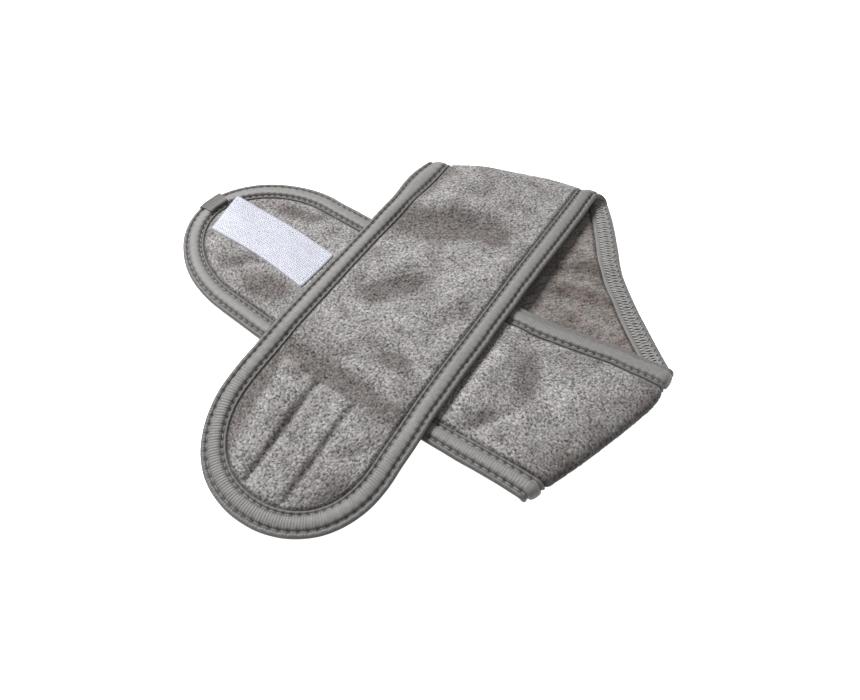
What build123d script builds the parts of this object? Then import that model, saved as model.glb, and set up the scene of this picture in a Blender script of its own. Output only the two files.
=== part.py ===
"""Spa headband: a bound towelling strip with a hook tab and a loop tab, laid folded in three on a table.

The strip runs from the loop tail up the front run, over the top fold, back along the middle run
underneath, round the right fold and out along the lower run to the hook tail.
Millimetres, +Z up, origin under the middle of the folded headband's box.
"""
from build123d import *
from math import cos, pi, radians, sin
import os

# ---- the strip ----
STRIP_WIDTH = 90.0
SHEET_THICKNESS = 3.4
FRONT_LENGTH = 224.8  # centreline, top fold to the tip of the loop tail
MIDDLE_LENGTH = 152.9  # centreline, top fold to right fold
LOWER_LENGTH = 240.2  # centreline, right fold to the tip of the hook tail
LOOP_ROUNDING = 50.0  # each tail ends in half an ellipse this long
HOOK_ROUNDING = 54.0

# ---- how it is folded ----
FRONT_HEADING = 57.2  # direction of the front run, from its tail to the top fold
TOP_FOLD_ANGLE = -15.7  # direction of the top fold's crease
RIGHT_FOLD_ANGLE = 37.0  # direction of the right fold's crease
TOP_FOLD_RADIUS = 4.6  # to the sheet's middle surface
RIGHT_FOLD_RADIUS = 2.3
MIDDLE_BEND_RADIUS = 491.0  # the middle run bows sideways on this radius
TOP_FOLD_PLACE = (51.13, 88.63)  # where the front run's centreline meets the top fold

# ---- the draped stretches ----
LOWER_DROP_START = 114.0  # the lower run leaves the middle run here
LOWER_DROP_LENGTH = 20.0
LOOP_TAIL_START = 157.2  # bend line of the loop tail, from the top fold
HOOK_TAIL_CLEARANCE = 2.8  # bend line of the hook tail, outside the front run's edge
BEND_GAP = 0.3  # between two bodies at a bend line
CREST_LENGTH = 2.0  # level cloth before the loop tail starts to slope down
LOOP_DROP_LENGTH = 62.0

# ---- binding, hem and thread ----
BINDING_WIDTH = 11.0
HEM_INSET = 4.0  # the cloth's pressed edge stops this far inside the binding's edge
HEM_THICKNESS = 1.6
NEEDLE_INSETS = (2.7, 9.3)  # the two needle rows of the cover stitch
NEEDLE_WIDTH = 0.6
THREAD_DEPTH = 0.4

# ---- hook and loop tapes ----
TAPE_WIDTH = 25.0
HOOK_TAPE_LENGTH = 65.0
HOOK_TAPE_THICKNESS = 1.4
HOOK_TAPE_PROUD = 0.8
HOOK_TAPE_OFFSET = -1.5  # from the strip's centreline
LOOP_TAPE_LENGTH = 50.4
LOOP_TAPE_THICKNESS = 1.1
LOOP_TAPE_OFFSET = 2.6
TAPE_END_GAP = 1.4  # between a tape's inner end and the bend line
STITCH_INSET = 3.0  # seam inside the tape's edge
STITCH_WIDTH = 0.8
CHANNEL_WIDTH = 2.6  # groove that the loop tape's seam pulls into the face
CHANNEL_DEPTH = 1.2

# ---- binding join tab ----
TAB_ANGLE = 33.0  # round the hook tail's end, from its centreline
TAB_LENGTH = 15.0
TAB_WIDTH = 12.0
TAB_THICKNESS = 1.5

# ---- worked out ----
HALF = STRIP_WIDTH / 2
FACE = SHEET_THICKNESS / 2  # face side of the sheet, from its middle surface
BACK = -SHEET_THICKNESS / 2
HEM = HEM_THICKNESS / 2
INNER = HALF - BINDING_WIDTH
TABLE_Z = SHEET_THICKNESS / 2  # middle surface of a run lying on the table
LOWER_Z = TABLE_Z + 2 * RIGHT_FOLD_RADIUS
FRONT_Z = TABLE_Z + 2 * TOP_FOLD_RADIUS
OVERSIZE = 2 * STRIP_WIDTH  # long enough to be cut back by any plane
UP = Vector(0, 0, 1)


def direction(angle):
    return Vector(cos(radians(angle)), sin(radians(angle)), 0)


def left_of(vector):
    return Vector(-vector.Y, vector.X, 0)


class Fold:
    """A half roll that turns the strip over: its crease, its axis and how the strip passes round it."""

    def __init__(self, centre, crease_angle, outward, radius, heading, across, enters_on_top):
        self.crease = direction(crease_angle)
        self.outward = outward
        self.radius = radius
        self.heading = heading
        self.across = across
        self.enter_sign = 1 if enters_on_top else -1
        self.axis_point = Vector(centre.X, centre.Y, TABLE_Z + radius)
        self.skew = heading.dot(self.crease) / heading.dot(outward)
        self.shift = self.crease * (pi * radius * self.skew)

    def start_plane(self, inset=0.0):
        """Vertical plane along the crease, facing away from the roll, set back into the run."""
        origin = self.axis_point - self.outward * inset
        return Plane(origin=origin, x_dir=self.crease, z_dir=-self.outward)

    def strip_plane(self, place, toward):
        """Tilted plane that follows the strip's line at `place` round the roll."""
        along = self.across.dot(self.crease) - self.across.dot(self.outward) * self.skew
        middle = self.axis_point + self.crease * (place * along) + self.shift / 2
        slope = UP - self.crease * (self.enter_sign * pi / 2 * self.skew)
        normal = self.outward.cross(slope).normalized()
        if normal.dot(self.across) * toward < 0:
            normal = -normal
        return Plane(origin=middle, x_dir=self.outward, z_dir=normal)


front_heading = direction(FRONT_HEADING)
top_place = Vector(*TOP_FOLD_PLACE, 0)
top_fold = Fold(
    top_place,
    TOP_FOLD_ANGLE,
    left_of(direction(TOP_FOLD_ANGLE)),
    TOP_FOLD_RADIUS,
    front_heading,
    left_of(front_heading),
    enters_on_top=True,
)

middle_start = top_place + top_fold.shift
middle_start_angle = 2 * TOP_FOLD_ANGLE - FRONT_HEADING
middle_heading = direction(middle_start_angle)
bow_centre = middle_start + left_of(middle_heading) * MIDDLE_BEND_RADIUS
bow_turn = MIDDLE_LENGTH / MIDDLE_BEND_RADIUS * 180 / pi
middle_end_heading = direction(middle_start_angle + bow_turn)
middle_end = bow_centre - left_of(middle_end_heading) * MIDDLE_BEND_RADIUS

right_fold = Fold(
    middle_end,
    RIGHT_FOLD_ANGLE,
    -left_of(direction(RIGHT_FOLD_ANGLE)),
    RIGHT_FOLD_RADIUS,
    middle_end_heading,
    -left_of(middle_end_heading),
    enters_on_top=False,
)
lower_start = middle_end + right_fold.shift
lower_heading = direction(2 * RIGHT_FOLD_ANGLE - middle_start_angle - bow_turn)


def run_frame(origin, heading):
    """Frame of a run: x along the strip, y across it, z up from the table."""
    return Plane(origin=origin, x_dir=heading, z_dir=UP)


front_frame = run_frame(top_place, -front_heading)
middle_frame = run_frame(middle_start, middle_heading)
lower_frame = run_frame(lower_start, lower_heading)

# The hook tail bends along a line beside the front run's left edge.
hook_bend_point = top_place + left_of(front_heading) * (HALF + HOOK_TAIL_CLEARANCE)
hook_bend_normal = left_of(front_heading)
loop_bend_point = top_place - front_heading * LOOP_TAIL_START


def bend_plane(point, normal, inset=0.0):
    return Plane(origin=point + normal * inset, z_dir=normal)


def level(z):
    """Profile of a run that lies flat at height z."""
    return [(-OVERSIZE, z), (2 * OVERSIZE, z)]


def layer(frame, profile, low, high):
    """The slab between two offsets from a run's middle surface, which follows `profile`."""
    bottom = [(x, z + low) for x, z in profile]
    top = [(x, z + high) for x, z in reversed(profile)]
    side = Plane(origin=frame.origin, x_dir=frame.x_dir, z_dir=-frame.y_dir)
    with BuildPart() as slab:
        with BuildSketch(side):
            with BuildLine():
                Polyline(*bottom, *top, close=True)
            make_face()
        extrude(amount=OVERSIZE, both=True)
    return slab.part


class Run:
    """A stretch that lies flat or drapes straight across the strip."""

    def __init__(self, frame, profile, cuts, across=1, face=1):
        self.frame = frame
        self.profile = profile
        self.cuts = cuts
        self.across = across
        self.face = face

    def outline(self, start, stop):
        """Sketch of the strip between two lines along it, longer than the run."""
        with Locations((0, self.across * (start + stop) / 2)):
            Rectangle(4 * OVERSIZE, stop - start)

    def cell(self, start, stop, low, high):
        """Solid between two lines along the strip and two offsets from the middle surface."""
        heights = sorted((self.face * low, self.face * high))
        with BuildPart() as piece:
            with BuildSketch(self.frame):
                self.outline(start, stop)
            extrude(amount=OVERSIZE)
            add(layer(self.frame, self.profile, *heights), mode=Mode.INTERSECT)
            for plane in self.cuts:
                split(bisect_by=plane, keep=Keep.TOP)
        return piece.part


class BowedRun(Run):
    """The middle run, whose edges are arcs about one centre."""

    def outline(self, start, stop):
        centre = self.frame.to_local_coords(bow_centre)
        reach = bow_turn * 2
        with BuildLine() as border:
            inner = CenterArc((centre.X, centre.Y), MIDDLE_BEND_RADIUS + start, -90 - reach / 3, reach)
            outer = CenterArc((centre.X, centre.Y), MIDDLE_BEND_RADIUS + stop, -90 - reach / 3, reach)
            Line(inner @ 0, outer @ 0)
            Line(inner @ 1, outer @ 1)
        make_face(border.line.edges())


class Roll:
    """The stretch that goes round a fold."""

    def __init__(self, fold):
        self.fold = fold

    def cell(self, start, stop, low, high):
        fold = self.fold
        section = Plane(origin=fold.axis_point, x_dir=fold.outward, z_dir=fold.outward.cross(UP))
        with BuildPart() as piece:
            with BuildSketch(section):
                Circle(fold.radius + high)
                Circle(fold.radius + low, mode=Mode.SUBTRACT)
                Rectangle(OVERSIZE, OVERSIZE, align=(Align.MAX, Align.CENTER), mode=Mode.SUBTRACT)
            extrude(amount=OVERSIZE, both=True)
            split(bisect_by=fold.strip_plane(start, toward=1), keep=Keep.TOP)
            split(bisect_by=fold.strip_plane(stop, toward=-1), keep=Keep.TOP)
        return piece.part


class Tail:
    """A rounded end: straight from its bend line, then half an ellipse."""

    def __init__(self, frame, profile, length, rounding, cuts):
        self.frame = frame
        self.profile = profile
        self.length = length
        self.rounding = rounding
        self.cuts = cuts

    def plate(self, inset, low, high):
        """Solid of the tail's outline drawn in by `inset`, between two offsets."""
        with BuildPart() as piece:
            with BuildSketch(self.frame):
                with Locations((self.length - self.rounding, 0)):
                    Ellipse(self.rounding - inset, HALF - inset)
                    Rectangle(OVERSIZE, 2 * (HALF - inset), align=(Align.MAX, Align.CENTER))
            extrude(amount=OVERSIZE)
            add(layer(self.frame, self.profile, low, high), mode=Mode.INTERSECT)
            for plane in self.cuts:
                split(bisect_by=plane, keep=Keep.TOP)
        return piece.part

    def ring(self, outer, inner, low, high):
        """Solid between two insets from the tail's edge."""
        with BuildPart() as piece:
            add(self.plate(outer, low, high))
            add(self.plate(inner, low - 1, high + 1), mode=Mode.SUBTRACT)
        return piece.part


parts = {}


def save(name, shape):
    shape.label = name
    parts[name] = shape
    export_step(shape, f"parts/{name}.step")


def joined(*solids):
    with BuildPart() as piece:
        for solid in solids:
            add(solid)
    return piece.part


def less(body, *cuts):
    with BuildPart() as piece:
        add(body)
        for cut in cuts:
            add(cut, mode=Mode.SUBTRACT)
    return piece.part


def sew_run(name, run):
    """Cloth, two bindings and the cover stitch's threads of one run or roll."""
    sides = (1, -1)
    hems = [run.cell(*sorted((side * INNER, side * (HALF - HEM_INSET))), -HEM, HEM) for side in sides]
    save(f"{name}_cloth", joined(run.cell(-INNER, INNER, BACK, FACE), *hems))
    needles = []
    loopers = []
    for side, hem, word in zip(sides, hems, ("left", "right")):
        rows = []
        for inset in NEEDLE_INSETS:
            place = side * (HALF - inset)
            row = (place - NEEDLE_WIDTH / 2, place + NEEDLE_WIDTH / 2, FACE - THREAD_DEPTH, FACE)
            rows.append(run.cell(*row))
        looper_span = sorted(side * (HALF - inset) for inset in NEEDLE_INSETS)
        looper = run.cell(*looper_span, BACK, BACK + THREAD_DEPTH)
        band = run.cell(*sorted((side * INNER, side * HALF)), BACK, FACE)
        save(f"{name}_binding_{word}", less(band, hem, looper, *rows))
        needles += rows
        loopers.append(looper)
    save(f"{name}_needle_threads", joined(*needles))
    save(f"{name}_looper_threads", joined(*loopers))


def sew_tail(name, tail, cloth_cuts):
    """Cloth, binding and the cover stitch's threads of one rounded end."""
    hem = tail.plate(HEM_INSET, -HEM, HEM)
    body = tail.plate(BINDING_WIDTH, BACK, FACE)
    save(f"{name}_cloth", less(joined(body, hem), *cloth_cuts))
    rows = []
    for inset in NEEDLE_INSETS:
        row = (inset - NEEDLE_WIDTH / 2, inset + NEEDLE_WIDTH / 2, FACE - THREAD_DEPTH, FACE)
        rows.append(tail.ring(*row))
    looper = tail.ring(*NEEDLE_INSETS, BACK, BACK + THREAD_DEPTH)
    band = tail.ring(0, BINDING_WIDTH, BACK, FACE)
    save(f"{name}_binding", less(band, hem, looper, *rows))
    save(f"{name}_needle_threads", joined(*rows))
    save(f"{name}_looper_thread", looper)


def tape_block(tail, start, stop, half_width, offset, low, high):
    """A rectangular length of tape that follows the tail's surface."""
    with BuildPart() as block:
        with BuildSketch(tail.frame):
            with Locations(((start + stop) / 2, offset)):
                Rectangle(stop - start, 2 * half_width)
        extrude(amount=OVERSIZE)
        add(layer(tail.frame, tail.profile, low, high), mode=Mode.INTERSECT)
    return block.part


def seam(tail, start, stop, offset, width, low, high):
    """A U-shaped row of stitches: two long sides and the inner end."""
    half = TAPE_WIDTH / 2 - STITCH_INSET
    outer = tape_block(tail, start, stop, half + width / 2, offset, low, high)
    inner = tape_block(tail, start + width, stop + 1, half - width / 2, offset, low - 1, high + 1)
    return less(outer, inner)


os.makedirs("parts", exist_ok=True)

# ---- runs and folds ----
front_run = Run(
    front_frame,
    level(FRONT_Z),
    (
        top_fold.start_plane(BEND_GAP),
        bend_plane(loop_bend_point, front_heading, BEND_GAP / 2),
    ),
    across=-1,
)
middle_run = BowedRun(
    middle_frame,
    level(TABLE_Z),
    (top_fold.start_plane(), right_fold.start_plane()),
    face=-1,
)
lower_profile = [
    (-OVERSIZE, LOWER_Z),
    (LOWER_DROP_START, LOWER_Z),
    (LOWER_DROP_START + LOWER_DROP_LENGTH, TABLE_Z),
    (2 * OVERSIZE, TABLE_Z),
]
lower_run = Run(
    lower_frame,
    lower_profile,
    (
        right_fold.start_plane(),
        bend_plane(hook_bend_point, -hook_bend_normal, BEND_GAP / 2),
    ),
)

sew_run("front_run", front_run)
sew_run("top_fold", Roll(top_fold))
sew_run("middle_run", middle_run)
sew_run("right_fold", Roll(right_fold))
sew_run("lower_run", lower_run)

# ---- loop tail ----
loop_profile = [
    (0, FRONT_Z),
    (LOOP_TAIL_START + CREST_LENGTH, FRONT_Z),
    (LOOP_TAIL_START + CREST_LENGTH + LOOP_DROP_LENGTH, TABLE_Z),
    (2 * OVERSIZE, TABLE_Z),
]
loop_tail = Tail(
    front_frame,
    loop_profile,
    FRONT_LENGTH,
    LOOP_ROUNDING,
    (bend_plane(loop_bend_point, -front_heading, BEND_GAP / 2),),
)
loop_start = LOOP_TAIL_START + TAPE_END_GAP
loop_stop = loop_start + LOOP_TAPE_LENGTH
loop_place = (loop_start, loop_stop, TAPE_WIDTH / 2, LOOP_TAPE_OFFSET)
loop_tape = tape_block(loop_tail, *loop_place, BACK, BACK + LOOP_TAPE_THICKNESS)
seam_place = (loop_start + STITCH_INSET, loop_stop, LOOP_TAPE_OFFSET)
channel_floor = FACE - CHANNEL_DEPTH
channel = seam(loop_tail, *seam_place, CHANNEL_WIDTH, channel_floor, FACE + 1)
loop_seam = seam(loop_tail, *seam_place, STITCH_WIDTH, channel_floor - THREAD_DEPTH, channel_floor)
sew_tail("loop_tail", loop_tail, (loop_tape, channel, loop_seam))
save("loop_tape", loop_tape)
save("loop_tape_stitching", loop_seam)

# ---- hook tail ----
hook_tail = Tail(
    lower_frame,
    level(TABLE_Z),
    LOWER_LENGTH,
    HOOK_ROUNDING,
    (bend_plane(hook_bend_point, hook_bend_normal, BEND_GAP / 2),),
)
tape_stop = LOWER_LENGTH - BINDING_WIDTH - 4 * TAPE_END_GAP
hook_place = (tape_stop - HOOK_TAPE_LENGTH, tape_stop)
hook_low = FACE + HOOK_TAPE_PROUD - HOOK_TAPE_THICKNESS
hook_high = FACE + HOOK_TAPE_PROUD
hook_block = tape_block(hook_tail, *hook_place, TAPE_WIDTH / 2, HOOK_TAPE_OFFSET, hook_low, hook_high)
hook_seam_place = (hook_place[0] + STITCH_INSET, hook_place[1], HOOK_TAPE_OFFSET)
hook_seam = seam(hook_tail, *hook_seam_place, STITCH_WIDTH, hook_high - THREAD_DEPTH, hook_high)
sew_tail("hook_tail", hook_tail, (hook_block,))
save("hook_tape", less(hook_block, hook_seam))
save("hook_tape_stitching", hook_seam)

# ---- join tab: the binding's end, folded over where the two ends meet ----
tab_x = LOWER_LENGTH - HOOK_ROUNDING + (HOOK_ROUNDING - BINDING_WIDTH / 2) * cos(radians(TAB_ANGLE))
tab_y = -(HALF - BINDING_WIDTH / 2) * sin(radians(TAB_ANGLE))
with BuildPart() as join_tab:
    with BuildSketch(lower_frame.offset(SHEET_THICKNESS)):
        with Locations(Location((tab_x, tab_y, 0), (0, 0, 90 - TAB_ANGLE))):
            RectangleRounded(TAB_LENGTH, TAB_WIDTH, TAB_THICKNESS)
    extrude(amount=TAB_THICKNESS)
    fillet(join_tab.faces().sort_by(Axis.Z)[-1].edges(), TAB_THICKNESS / 3)
save("binding_join_tab", join_tab.part)

if __name__ == "__main__":
    box = Compound(children=list(parts.values())).bounding_box()
    print("box", box.min, box.max)
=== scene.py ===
"""Looks of the spa headband: pile, binding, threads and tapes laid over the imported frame.

The strip is described flat: x runs along it from the top fold, negative on the front run and its
loop tail, positive over the top fold, back underneath, round the right fold and out to the hook tail.
t runs across it, positive towards the left edge of someone walking up the front run.
h is the height above the sheet's middle surface on its face side. Metres.
"""
from math import cos, pi, radians, sin

import bpy
import numpy as np
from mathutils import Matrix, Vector


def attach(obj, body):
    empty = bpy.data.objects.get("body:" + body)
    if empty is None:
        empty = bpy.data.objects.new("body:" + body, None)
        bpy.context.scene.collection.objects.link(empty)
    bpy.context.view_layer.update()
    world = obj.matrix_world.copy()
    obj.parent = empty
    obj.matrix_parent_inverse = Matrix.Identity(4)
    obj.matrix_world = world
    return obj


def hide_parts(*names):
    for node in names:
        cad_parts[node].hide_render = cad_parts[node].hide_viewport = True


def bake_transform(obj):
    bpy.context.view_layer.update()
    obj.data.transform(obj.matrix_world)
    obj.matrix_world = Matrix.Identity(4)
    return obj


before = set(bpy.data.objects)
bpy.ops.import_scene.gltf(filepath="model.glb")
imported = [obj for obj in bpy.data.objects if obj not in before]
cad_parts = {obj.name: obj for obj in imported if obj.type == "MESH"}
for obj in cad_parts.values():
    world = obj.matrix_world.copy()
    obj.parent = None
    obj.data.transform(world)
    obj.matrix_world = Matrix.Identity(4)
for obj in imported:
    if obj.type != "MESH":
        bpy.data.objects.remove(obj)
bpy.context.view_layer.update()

# ---- the strip ----
HALF = 0.045
FRONT_LENGTH = 0.2248
MIDDLE_LENGTH = 0.1529
LOWER_LENGTH = 0.2402
LOOP_ROUNDING = 0.049  # each tail ends in half a superellipse this long
HOOK_ROUNDING = 0.055
LOOP_SQUARENESS = 2.17
HOOK_SQUARENESS = 1.9
FACE = 0.0017  # half the towelling's thickness

# ---- how it is folded ----
FRONT_HEADING = 57.2  # degrees from X, towards the top fold
TOP_FOLD_ANGLE = -15.7
RIGHT_FOLD_ANGLE = 37
TOP_FOLD_RADIUS = 0.0046
RIGHT_FOLD_RADIUS = 0.0023
MIDDLE_BEND_RADIUS = 0.491
TOP_FOLD_PLACE = (0.05113, 0.08863)
STRAIGHT_ENDS = 0.015  # the middle run is straight beside each fold
TABLE_Z = FACE  # middle surface of a run that lies on the table
LOWER_Z = TABLE_Z + 2 * RIGHT_FOLD_RADIUS
FRONT_Z = TABLE_Z + 2 * TOP_FOLD_RADIUS

# ---- how it drapes ----
LOOP_DROP = (0.138, 0.1)  # start from the top fold, length
LOWER_DROP = (0.1135, 0.021)  # start from the right fold, length
FOLD_REACH = 0.0014  # the right fold is pressed flat at its ends
FOLD_BULGE = 0.0026  # and bulges out softly between them
FOLD_SKEW = 0.0005  # its lower corner reaches further than its upper one
FOLD_TUCK = (-0.0014, 0.0042)  # its upper corner is pushed up, in the table's plane
FOLD_HUMP = 0.003  # the lower run stands up beside the right fold, most at mid width
EDGE_PULL = 0.0075  # the lower run's far edge is pulled in beside the front run
EDGE_PULL_PLACE = 0.066
LOOP_TAIL_SWERVE = -0.0018  # sideways, towards the right edge
RIPPLE = 0.00045
OVERLAP = (0.060, 0.172)  # where the front run lies on the lower run, from the top fold
SETTLED = 0.0006  # it sinks into the lower run's pile by this much
DENT_LIMIT = 0.0005  # and its dents go no deeper than this there
CORNER_SAG = (0.0044, 0.0030)  # the top fold sinks at its left and right end
# edges that swell out: by how much, from where to where along the run
SHOULDER = (0.0028, 0.0025, 0.05)  # the front run's left edge, below the top fold
LOWER_SWELL = (0.0034, 0.016, 0.2)  # the lower run's near edge
HIP = (0.004, -0.034, 0.056)  # the middle run's far edge, beside the top fold

# ---- painted shade and light on the pile, and its streaks ----
FOLD_SHADE = 0.9  # painted shade along the right fold, where it turns away from the light
FOLD_SHADE_REACH = 0.028
STREAK_TONE = 0.42  # faint streaks where it lies the other way
FULL_SHADE_DEPTH = 0.0024  # a dent this deep gets the full painted shade
FULL_LIGHT_HEIGHT = 0.0012  # a ridge this high gets the full painted light
# painted shade everywhere off the ridges, so the ridges read lighter
OFF_RIDGE_SHADE = 0.2
# colour of the deepest painted shade and of the darkest streaks
SHADE_AND_STREAK_TONE = (0.46, 0.43, 0.415)

# soft dents and ridges, in millimetres: place along and across, turn in degrees from the strip's
# length, half length, half width, height. Each also paints shade into the pile's colour in a dent
# and paints light on a ridge
FRONT_CREASES = (
    (-50, 11, -63, 28, 11, -3),
    (-21, 6, -16, 12, 8, -1.2),
    (-44, -17.5, -100, 11, 8, -1.4),
    (-28, 35, -16, 20, 8, -1.4),
    (-34, 14, -60, 20, 8, 1.4),
    (-95, 10, -38, 22, 8.5, -2.5),
    (-87, 14, -42, 18, 7, 1.4),
    (-75, -19, -22, 22, 6, 0.9),
    (-99, -22, -23, 16, 4.5, -1.2),
    (-114, -7, -90, 26, 4.5, 1.2),
    (-153, -1, -93, 36, 6.5, -2.3),
    (-132, -15, -86, 8, 6, -1.9),
    (-178, -23, -42, 10, 3.8, -1.6),
    (-199, -26, -36, 11, 4.5, -2),
    (-172, 21, 8, 25, 4.5, 0.6),
)
# painted shade and painted light marks on the front run's pile only, with no dent or ridge under them,
# written the same way
PAINTED_LIGHT_AND_SHADE_MARKS = (
    (-180, 34, 8, 28, 8.5, -2.2),
    (-184, 9.6, 3, 28, 2.4, -1.8),
    (-184.5, -11.2, -1, 25, 2, -1.2),
    (-164, -2, -90, 11, 4, 1.2),
    (-190, -17, 0, 16, 5, 1),
    (-175, 21, 8, 20, 5, 0.8),
    (-60, -22, -20, 28, 6, 1),
    (-40, 20, -60, 34, 15, -0.9),
    (-168, 26, 8, 34, 10, -0.7),
)
LOWER_CREASES = (
    (40, -8, 110, 21, 7, -2),
    (44, 23.5, 51, 14, 5.5, -2),
    (28, 12, 57, 24, 6, 1.2),
    (175, 21, 17, 14, 7, -2.6),
    (194, -24, 13, 16, 5, -2),
    (196, 16, 60, 12, 4.5, -1.5),
    (152, -22, 60, 14, 7, 1),
    (55.6, 4, 90, 32, 4.2, 1.6),
)
MIDDLE_CREASES = (
    (62, -32, -70, 28, 6, -1.6),
    (78, -22, -62, 22, 5.5, -1.4),
)

# ---- binding and cover stitch ----
BINDING_WIDTH = 0.0112
BINDING_EDGE = 0.00135  # height of its face side over the cloth's middle
BINDING_CROWN = 0.00085  # how much higher the band between the needle rows stands
BINDING_BACK = 0.0013
HEM_INSET = 0.004  # the cloth stops this far inside the binding
HEM_THICKNESS = 0.0004  # and is pressed to this half thickness there
PILE_START = BINDING_WIDTH - 0.0004
PILE_RISE = 0.0022  # over which it thickens again
NEEDLE_INSETS = (0.0027, 0.0093)
NEEDLE_THREAD = 0.0002  # radii of the threads
LOOPER_THREAD = 0.00038
STITCH_PITCH = 0.0037
RIB_PITCH = 0.00125
RIB_HEIGHT = 0.0003
ROW_STEP = 0.00025
FADE_LENGTH = 0.012  # over which a binding's rows turn square to its edge

# ---- pile ----
PILE_STEP = 0.0005
BACK_STEP = 0.0013
TUFT = 0.00095
PILE_RELIEF = 0.00055
BACK_RELIEF = 0.00075
TOP_STRETCH = 0.4  # how much longer the pile side is, round each fold
RIGHT_STRETCH = 1.5

# ---- tapes, in each tail's own run ----
TAPE_HALF_WIDTH = 0.0125
TAPE_STEP = 0.0005
TAPE_CORNER = 0.0012
TAPE_SINK = 0.0005  # the loop tape presses this far into the back
HOOK_TAPE = (0.1586, 0.2236, -0.0015)  # start, stop, offset across
LOOP_TAPE = (0.1576, 0.2090, -0.0018)
SEAM_INSET = 0.0026
HOOK_TAPE_SKEW = 0.0045
HOOK_TAPE_BOW = 0.0016
HOOK_TAPE_TOP = FACE + 0.0008
HOOK_GROUND_TOP = HOOK_TAPE_TOP - 0.0003  # the hooks stand on it
HOOK_PITCH = 0.0011
HOOK_SEAM_SINK = 0.00042
CHANNEL_DEPTH = 0.0017
CHANNEL_SPREAD = 0.0018
CHANNEL_LEFT = 0.2  # the left one is this much deeper

# ---- join cuff, on the hook tail's edge ----
CUFF_PLACE = 0.066  # back along the edge from where the tail's far side runs straight
CUFF_HALF_LENGTH = 0.006
CUFF_REACH = 0.0092  # in from the edge
CUFF_FACE = 0.0024
CUFF_BACK = 0.0016

# ---- floor, light and camera ----
FLOOR_REACH = 20
FLOOR_GLOW = 0.9
KEY_PLACE = (-0.56, 0.58, 1.05)
KEY_SIZE = 0.5
KEY_POWER = 31.5
SKY = 0.42
CAMERA_PLACE = (0.00779, -0.19666, 0.2728)
CAMERA_TARGET = (0.00779, -0.01698, 0.0)
CAMERA_ROLL = 0.4  # degrees
LENS = 28.95
SENSOR = 36


def direction(angle):
    return np.array([cos(radians(angle)), sin(radians(angle))])


def left_of(vector):
    return np.array([-vector[1], vector[0]])


def smooth(u):
    u = np.clip(u, 0, 1)
    return u * u * (3 - 2 * u)


def bell(u):
    return np.exp(-(u ** 2))


def arch(u, power=1.0):
    """0 at u = 0 and 1, rising to 1 between."""
    return np.sin(pi * np.clip(u, 0, 1)) ** power


# ---- the strip laid on the table ----

front_heading = direction(FRONT_HEADING)
front_left = left_of(front_heading)
top_crease = direction(TOP_FOLD_ANGLE)
top_outward = left_of(top_crease)
top_place = np.array(TOP_FOLD_PLACE)
top_turn = pi * TOP_FOLD_RADIUS
TOP_ROLL = top_turn / front_heading.dot(top_outward)  # length along the strip
TOP_SLANT = -front_left.dot(top_outward) / front_heading.dot(top_outward)

middle_angle = 2 * TOP_FOLD_ANGLE - FRONT_HEADING
top_shift = top_turn * front_heading.dot(top_crease) / front_heading.dot(top_outward)
middle_start = top_place + top_crease * top_shift
BOW = MIDDLE_LENGTH / MIDDLE_BEND_RADIUS


def middle_centre(s):
    """Centreline point and heading angle of the middle run: straight, bowed, straight."""
    bowed = MIDDLE_LENGTH - 2 * STRAIGHT_ENDS
    radius = bowed / BOW
    start = radians(middle_angle)
    arc = np.clip(s - STRAIGHT_ENDS, 0, bowed)
    angle = start + arc / radius
    x = radius * (np.sin(angle) - sin(start))
    y = radius * (cos(start) - np.cos(angle))
    before = np.minimum(s, STRAIGHT_ENDS)
    after = np.maximum(s - STRAIGHT_ENDS - bowed, 0)
    x = x + middle_start[0] + before * cos(start) + after * np.cos(angle)
    y = y + middle_start[1] + before * sin(start) + after * np.sin(angle)
    return np.stack([x, y], -1), angle


middle_end, middle_end_angle = middle_centre(np.array(MIDDLE_LENGTH))
end_heading = np.array([np.cos(middle_end_angle), np.sin(middle_end_angle)])
end_across = -left_of(end_heading)
right_crease = direction(RIGHT_FOLD_ANGLE)
right_outward = -left_of(right_crease)
right_turn = pi * RIGHT_FOLD_RADIUS
RIGHT_ROLL = right_turn / end_heading.dot(right_outward)
RIGHT_SLANT = -end_across.dot(right_outward) / end_heading.dot(right_outward)
right_shift = right_turn * end_heading.dot(right_crease) / end_heading.dot(right_outward)
lower_start = middle_end + right_crease * right_shift
lower_heading = direction(2 * RIGHT_FOLD_ANGLE - np.degrees(middle_end_angle))
lower_left = left_of(lower_heading)

MIDDLE_START = TOP_ROLL
RIGHT_FOLD_START = TOP_ROLL + MIDDLE_LENGTH
LOWER_START = RIGHT_FOLD_START + RIGHT_ROLL
LOOP_TAIL_ROUND = -(FRONT_LENGTH - LOOP_ROUNDING)
HOOK_TAIL_ROUND = LOWER_START + LOWER_LENGTH - HOOK_ROUNDING


def front_line(t):
    """Where the front run meets the top fold."""
    return TOP_SLANT * t


def middle_line(t):
    return MIDDLE_START + TOP_SLANT * t


def right_fold_line(t):
    return RIGHT_FOLD_START + RIGHT_SLANT * t


def creased(x, t, creases):
    """Height of soft dents and ridges left by handling."""
    height = np.zeros(np.broadcast(x, t).shape)
    for place_x, place_t, turn, half_length, half_width, size in creases:
        along, across = direction(turn)
        dx, dt = 1000 * x - place_x, 1000 * t - place_t
        run = dx * along + dt * across
        aside = dt * along - dx * across
        height = height + size * bell(run / half_length) * bell(aside / half_width)
    return height / 1000


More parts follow.
